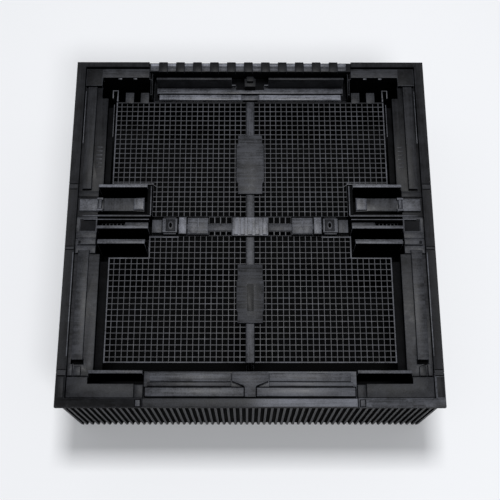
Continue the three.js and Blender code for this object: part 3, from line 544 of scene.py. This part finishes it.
# Painted shade: the walls of the holes are painted near black.
screen_side = plastic("screen_hole", 0.002, 0.05, 0.7)
screen_edge = plastic("screen_bar_edge", 0.02, 0.2, 0.45)
screen_surfaces = (screen_top, screen_side, screen_edge)
rim_surfaces = finish("screen_rim", 0.05, 0.25, 0.45, side=0.03, edge=1.2, rubbed=0.4)
# Painted shade: the back length of the back screens' rim is painted darker than the rest of the rim.
screen_back_shade = plastic("screen_rim_back", 0.012, 0.12, 0.5, rubbed=0.4)


def grid_sheet(name, x, y, z, columns, rows):
    """A flat sheet of cells between low and high sizes in millimetres."""
    bpy.ops.object.select_all(action="DESELECT")
    middle = ((x[0] + x[1]) / 2 * MM, (y[0] + y[1]) / 2 * MM, z * MM)
    bpy.ops.mesh.primitive_grid_add(x_subdivisions=columns, y_subdivisions=rows, size=1, location=middle)
    sheet = bpy.context.object
    sheet.name = name
    sheet.scale = ((x[1] - x[0]) * MM, (y[1] - y[0]) * MM, 1)
    bpy.ops.object.transform_apply(location=True, rotation=True, scale=True)
    return sheet


def cut_corner(sheet, corner_x, corner_y, behind):
    """Takes the cells beyond a notch out of a sheet, and moves the cut edge to the notch."""
    reach = 4.5 * MM
    gone, kept = set(), set()
    for face in sheet.data.polygons:
        inside = face.center.y < corner_y if behind else face.center.y > corner_y
        face.select = inside and face.center.x > corner_x
        (gone if face.select else kept).update(face.vertices)
    for index in gone & kept:
        place = sheet.data.vertices[index].co
        beyond = place.y < corner_y + reach if behind else place.y > corner_y - reach
        if abs(place.y - corner_y) < reach and place.x > corner_x - reach:
            place.y = corner_y
        if abs(place.x - corner_x) < reach and beyond:
            place.x = corner_x
    bpy.ops.object.mode_set(mode="EDIT")
    bpy.ops.mesh.select_mode(type="FACE")
    bpy.ops.mesh.delete(type="FACE")
    bpy.ops.object.mode_set(mode="OBJECT")


def thicken(sheet, thickness):
    """Gives a sheet its thickness, downwards or inwards."""
    solid = sheet.modifiers.new("thick", "SOLIDIFY")
    solid.thickness = thickness * MM
    solid.offset = -1
    bpy.ops.object.modifier_apply(modifier="thick")


def make_lattice(sheet, bar_width, thickness):
    """Turns the cells of a sheet into the holes of a lattice."""
    select_only(sheet)
    bpy.ops.object.mode_set(mode="EDIT")
    bpy.ops.mesh.select_mode(type="FACE")
    bpy.ops.mesh.select_all(action="SELECT")
    bpy.ops.mesh.inset(thickness=bar_width / 2 * MM, use_individual=True)
    bpy.ops.mesh.delete(type="FACE")
    bpy.ops.object.mode_set(mode="OBJECT")
    thicken(sheet, thickness)
    surface_piece(sheet, screen_surfaces, 0.3, 1)


def make_rim(sheet, width, thickness, spine_x, arm_y):
    """Turns a sheet into the raised rim of its outer side, its far end and its notch."""
    select_only(sheet)
    bpy.ops.object.mode_set(mode="EDIT")
    bpy.ops.mesh.select_mode(type="FACE")
    bpy.ops.mesh.select_all(action="SELECT")
    bpy.ops.mesh.dissolve_faces()
    bpy.ops.mesh.dissolve_limited(angle_limit=math.radians(1))
    bpy.ops.mesh.select_all(action="SELECT")
    bpy.ops.mesh.inset(thickness=width * MM)
    bpy.ops.mesh.delete(type="FACE")
    bpy.ops.object.mode_set(mode="OBJECT")

    def left_out(face):
        place = face.center / MM
        beside_pocket = 136 < place.x < 142 and place.y > 0
        return place.x < spine_x + width or abs(place.y - arm_y) < width or beside_pocket

    edit_faces(sheet, left_out)
    bpy.ops.mesh.delete(type="FACE")
    bpy.ops.object.mode_set(mode="OBJECT")
    thicken(sheet, thickness)
    surface_piece(sheet, rim_surfaces, 0.5)


def floor_screen(half, columns, rows, notch):
    """The lattice and the rim of a right-hand quarter, and their left-hand twins."""
    node = f"right_{half}_screen"
    low, high = box_mm(node)
    behind = half == "back"
    side_edge, back_edge = (195, 193.5) if behind else (high.x, high.y)
    bar_width, rim_width = 1.3 if behind else 1.15, 1.8
    for name, z in (("lattice", lattice_top), ("rim", screen_top_z)):
        sheet = grid_sheet(f"{node}_{name}", (low.x, side_edge), (low.y, back_edge), z, columns, rows)
        cut_corner(sheet, notch[0] * MM, notch[1] * MM, behind)
        if name == "lattice":
            make_lattice(sheet, bar_width, lattice_depth)
        else:
            make_rim(sheet, rim_width, 3, low.x, low.y if behind else high.y)
            far_rim = back_edge - rim_width - 0.1
            repaint(sheet, screen_back_shade, lambda place, normal: place.y > far_rim and behind)
        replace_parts(sheet, node)
        part_of(sheet)
        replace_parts(left_copy(sheet), node.replace("right", "left"))


lattice_top, lattice_depth, screen_top_z = 156.8, 2.4, 157.5
floor_screen("back", 24, 24, (137, 62.7))
floor_screen("front", 24, 22, (140, -46.2))
lip_x, lip_y, lip_z = (99, 138.5), (-17.2, -15.4), (screen_top_z - 2.5, screen_top_z)
slab("right_screen_lip", lip_x, lip_y, lip_z, rim_surfaces, 0.3)

tongue = finish("tongue", 0.02, 0.15, 0.5, side=0.2, edge=1.6, rubbed=0.6)
tongue_y, tongue_z, tongue_width = (191, 208.3), (153, 158.6), 12
for start in (148, 170):
    tongue_x = (start, start + tongue_width)
    slab(f"right_tongue_{start}", tongue_x, tongue_y, tongue_z, tongue, 0.5)

hook = add_block("right_hooked_rib", (192.7, 201.3), (199, 212), (152, 159))
edit_faces(hook, lambda face: face.normal.y < -0.9 or abs(face.normal.z) > 0.9)
bpy.ops.mesh.delete(type="FACE")
bpy.ops.object.mode_set(mode="OBJECT")
thicken(hook, 1.8)
surface_piece(hook, rim_surfaces, 0.3)
part_of(hook)
left_copy(hook)
foot_x, foot_y, foot_z = (192.7, 194.6), (194, 199.4), (152, 158.8)
slab("right_hook_foot", foot_x, foot_y, foot_z, rim_surfaces, 0.3)
rib_x, rib_y, rib_z = (197.8, 198.8), (138, 190), (146, 156.5)
slab("right_trench_rib", rib_x, rib_y, rib_z, rim_surfaces, 0.3)

# Painted shade: near-black slabs laid in the trenches beside the ledges.
trench_shade = finish("trench_floor", 0.0028, 0.03, 0.6, side=0.3, edge=1.2, rubbed=0.4)
trench_z = (149.4, 150.4)
low, high = box_mm("right_front_ledge")
trench_x, trench_y = (196.5, low.x + 1), (low.y + 4, high.y - 8)
slab("right_front_trench_floor", trench_x, trench_y, trench_z, trench_shade, 0.3)
low, high = box_mm("right_back_ledge")
trench_x, trench_y = (199.2, low.x + 1), (low.y + 16, 188)
slab("right_back_trench_floor", trench_x, trench_y, trench_z, trench_shade, 0.3)
arm_plate = finish("arm_plate", 0.03, 0.2, 0.5, side=0.1, edge=1.4, rubbed=0.9, grain=2.5)
slab("right_arm_plate", (142.6, 175), (0.5, 7.9), (150.6, 152), arm_plate, 0.4)

cross = finish("cross", 0.036, 0.2, 0.5, side=0.05, edge=1.2, streak=0.5, along=ALONG_Y, rubbed=0.5)
moulded("carrier_cross", "inner_frame", cross, 0.4)
brushed_across = {"streak": 0.9, "along": ALONG_X, "rubbed": 0.6}
back_plate = finish("back_plate", 0.028, 0.2, 0.5, side=0.2, edge=1.5, **brushed_across)
front_plate = finish("front_plate", 0.021, 0.15, 0.5, side=0.2, edge=1.5, **brushed_across)
moulded("back_plate", "inner_frame", back_plate, 0.6)
moulded("front_plate", "inner_frame", front_plate, 0.6)
blank = finish("blank_panel", 0.006, 0.1, 0.4, side=0.3, edge=4.0, rubbed=0.6)
low, high = box_mm("front_plate")
panel_x, panel_y, panel_z = (-4.6, 5.2), (-124, -85), (high.z - 0.3, high.z + 0.35)
panel_piece = add_block("front_blank_panel", panel_x, panel_y, panel_z)
panel_tops(panel_piece, 0.9, 0.3)
surface_piece(panel_piece, blank, 0.25)
part_of(panel_piece)

# ---------------------------------------------------------------- cross arm
# The arm joins the hub to the pockets: an end pad, a window block with an oval boss over the bolt's
# nose, a guide, and a thumb plate that draws the bolt.
arm = finish("arm", 0.033, 0.2, 0.5, side=0.06, edge=1.4, streak=0.3, along=ALONG_Y, rubbed=0.6)
# Painted shade: up-facing faces more than 6.5 mm below the top are painted dark.
moulded_pair("arm", "inner_frame", arm, 0.5, deep=6.5)
hub = finish("hub", 0.088, 0.3, 0.45, side=0.15, edge=1.15, streak=0.7, along=ALONG_Y, rubbed=0.5)
moulded("hub", "bright_fitting", hub, 0.8, 3)
bolt = finish("draw_bolt", 0.05, 0.25, 0.5, side=0.1, edge=1.3, streak=0.6, along=ALONG_X, rubbed=0.6)
moving_pair("draw_bolt", "bright_fitting", bolt, 0.5, "bolt")
low, high = box_mm("right_draw_bolt")
bolt_bodies = ("right_bolt", "left_bolt")
bolt_marks = (
    ("ridge", (low.x + 13, low.x + 14.2), (low.y + 9, high.y - 1), 0.9, hub),
    ("step", (low.x + 14.6, low.x + 27.5), (low.y + 1, high.y - 1), 0.5, bolt),
)
for name, x, y, rise, surfaces in bolt_marks:
    z = (high.z - 0.3, high.z + rise)
    slab("right_bolt_" + name, x, y, z, surfaces, 0.4, bodies=bolt_bodies)
guide = finish("guide", 0.11, 0.3, 0.5, side=0.15, edge=1.1, streak=0.3, along=ALONG_Y, rubbed=0.3)
slab("right_guide_cap", (88.9, 98.5), (-13.4, 10), (163.6, 164.6), guide, 0.4)

low, high = box_mm("right_arm")
frame_plate = finish("window_frame", 0.055, 0.25, 0.5, side=0.05, edge=1.2, rubbed=0.4)
inset = finish("window_inset", 0.012, 0.1, 0.5, side=0.3, edge=5.0)
dark_ring = finish("window_line", 0.0008, 0.02, 0.8, side=0.5, edge=1.0)
window_steps = (
    ("outline", (100, 122.6), (-12.6, 9.6), 0.1, dark_ring),
    ("frame", (101.2, 121.4), (-11.6, 8.6), 0.4, frame_plate),
    ("groove", (103.6, 117), (-10.4, 7.4), 0.55, dark_ring),
    ("inset", (104.6, 116), (-9.4, 6.4), 0.7, inset),
)
for name, x, y, rise, surfaces in window_steps:
    slab(f"right_window_{name}", x, y, (high.z - 0.5, high.z + rise), surfaces, 0.3)
boss_radius, boss_length = 3.4, 1.75
for name, reach, rise, surfaces in (("boss", 1.0, 0.9, arm), ("eye", 0.62, 1.0, dark_ring)):
    bpy.ops.object.select_all(action="DESELECT")
    place = (0.1103, -0.0015, (high.z + rise / 2) * MM)
    radius = boss_radius * reach * MM
    bpy.ops.mesh.primitive_cylinder_add(vertices=48, radius=radius, depth=rise * MM, location=place)
    bpy.ops.transform.resize(value=(1, boss_length, 1))
    bpy.ops.object.transform_apply(location=True, rotation=True, scale=True)
    boss = bpy.context.object
    boss.name = "right_window_" + name
    surface_piece(boss, surfaces, 0.2)
    left_copy(part_of(boss))

mesh_patches = (
    ("right_patch_back", (25.2, 57.4), (3.6, 14), lattice_top, 4),
    ("right_patch_front", (25.2, 57.4), (-14, -7.4), lattice_top, 4),
    ("right_patch_side", (176, 208), (2, 7.8), 148, 6),
)
for name, x, y, z, columns in mesh_patches:
    sheet = grid_sheet(name, x, y, z, columns, 1)
    make_lattice(sheet, 1.6, lattice_depth)
    part_of(sheet)
    left_copy(sheet)

# ---------------------------------------------------------------- front ledge, cover bars and key
# Two raised pads and a thin strip on each side of a T-shaped key, and two bright cover bars that lie
# in the channel behind the front rim. Plates cover both front corners. The right half of the strip
# and the right cover bar are painted lighter as a painted reflection.
sill = finish("sill", 0.042, 0.22, 0.45, side=0.04, edge=1.3, streak=0.6, along=ALONG_X, rubbed=0.4)
# Painted shade: up-facing faces more than 2.5 mm below the top are painted dark.
sill_piece = moulded("front_sill", "inner_frame", sill, 0.5, deep=2.5)
# Painted reflection: the right half of the strip is painted 2.6 times as light.
strip = plastic("sill_strip", 0.024, 0.2, 0.45, streak=0.6, along=ALONG_X, rubbed=0.4, fade=2.6)
repaint(sill_piece, strip, lambda place, normal: place.y < -219.5 and normal.z > 0.6)
# Painted reflection: the right cover bar is painted up to 1.6 times as light.
cover = finish("cover_bar", 0.038, 0.25, 0.42, side=0.05, edge=1.2, streak=0.4, along=ALONG_X, fade=1.6)
moulded_pair("cover_bar", "bright_fitting", cover, 0.7)
low, high = box_mm("right_cover_bar")
line_x, line_y = (low.x - 1.3, high.x + 1.3), (low.y - 0.6, high.y + 1.3)
slab("right_cover_line", line_x, line_y, (high.z - 1.6, high.z - 0.5), joint_line, 0.1)
key = finish("key", 0.035, 0.2, 0.5, side=0.05, edge=1.3, streak=0.6, along=ALONG_X, rubbed=0.4)
moulded("centre_key", "inner_frame", key, 0.6)
corner_plate = finish("corner_plate", 0.016, 0.15, 0.5, side=0.03, edge=1.3, rubbed=0.4)
# Painted shade: up-facing faces more than 4 mm below the top are painted dark.
moulded_pair("front_corner", "inner_frame", corner_plate, 0.6, deep=4)
low, high = box_mm("front_rim_bar")
peg = finish("peg", 0.035, 0.2, 0.5, side=0.05, edge=1.5, rubbed=0.4)
inlay_z = (high.z - 0.6, high.z - 0.2)
slab("right_peg_line", (141.8, 150.2), (-253.3, -243.7), inlay_z, joint_line, 0.1)
slab("right_peg", (143, 149), (-252.5, -244.5), (high.z - 0.6, high.z), peg, 0.5)
# Painted shade: a slab in the side rim's darker tone over the side length of the right front corner, so
# that the corner's painted reflection stays at the front.
slab("right_rim_side_cover", (243.6, 253.2), (-241, -214.4), inlay_z, side_rim, 0.2)

# ---------------------------------------------------------------- entrance
# A floor with two low rails behind a light sill bar; two thin gates stand in its channels and lift
# out, one on each side of a small centre block.
entrance = finish("entrance", 0.05, 0.2, 0.5, side=0.08, edge=0.9, streak=0.4, along=ALONG_X)
# Painted shade: up-facing faces more than 4.4 mm below the top are painted dark.
moulded("entrance_floor", "inner_frame", entrance, 0.4, deep=4.4)
gate = finish("gate", 0.02, 0.15, 0.45, side=0.6, edge=1.3)
moving_pair("gate", "dark_frame", gate, 0.4, "gate")
centre = finish("centre_block", 0.0075, 0.12, 0.5, side=0.3, edge=2.0, rubbed=0.5)
moulded("centre_block", "inner_frame", centre, 0.5)
low, high = box_mm("entrance_floor")
lengthwise = {"streak": 0.5, "along": ALONG_X, "rubbed": 0.5}
sill_plate = finish("sill_plate", 0.055, 0.25, 0.45, side=0.1, edge=1.1, **lengthwise)
plate_x, plate_y, plate_z = (-137.5, 135.5), (low.y + 10.6, low.y + 16.6), (141.4, 142.3)
laid("entrance_sill_plate", plate_x, plate_y, plate_z, sill_plate, 0.3)
middle_x, middle_y, middle_z = (-13.4, 12), (low.y + 2, low.y + 9.9), (136.6, 138)
laid("entrance_sill_middle", middle_x, middle_y, middle_z, sill_plate, 0.3)
sill_cap = finish("sill_cap", 0.113, 0.3, 0.42, side=0.1, edge=1.1, streak=0.6, along=ALONG_X, rubbed=0.3)
cap_x, cap_y, cap_z = (13.6, 134.4), (low.y + 0.8, low.y + 9.2), (139.6, 140.6)
slab("right_sill_cap", cap_x, cap_y, cap_z, sill_cap, 0.4)

# ---------------------------------------------------------------- inspection tray
# A shallow black tray slides out under the back wall on the runners of the side walls.
tray = finish("tray", 0.002, 0.05, 0.7, side=0.5, edge=2)
moulded("inspection_tray", "dark_frame", tray, 0.6, body="tray")

low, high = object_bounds()
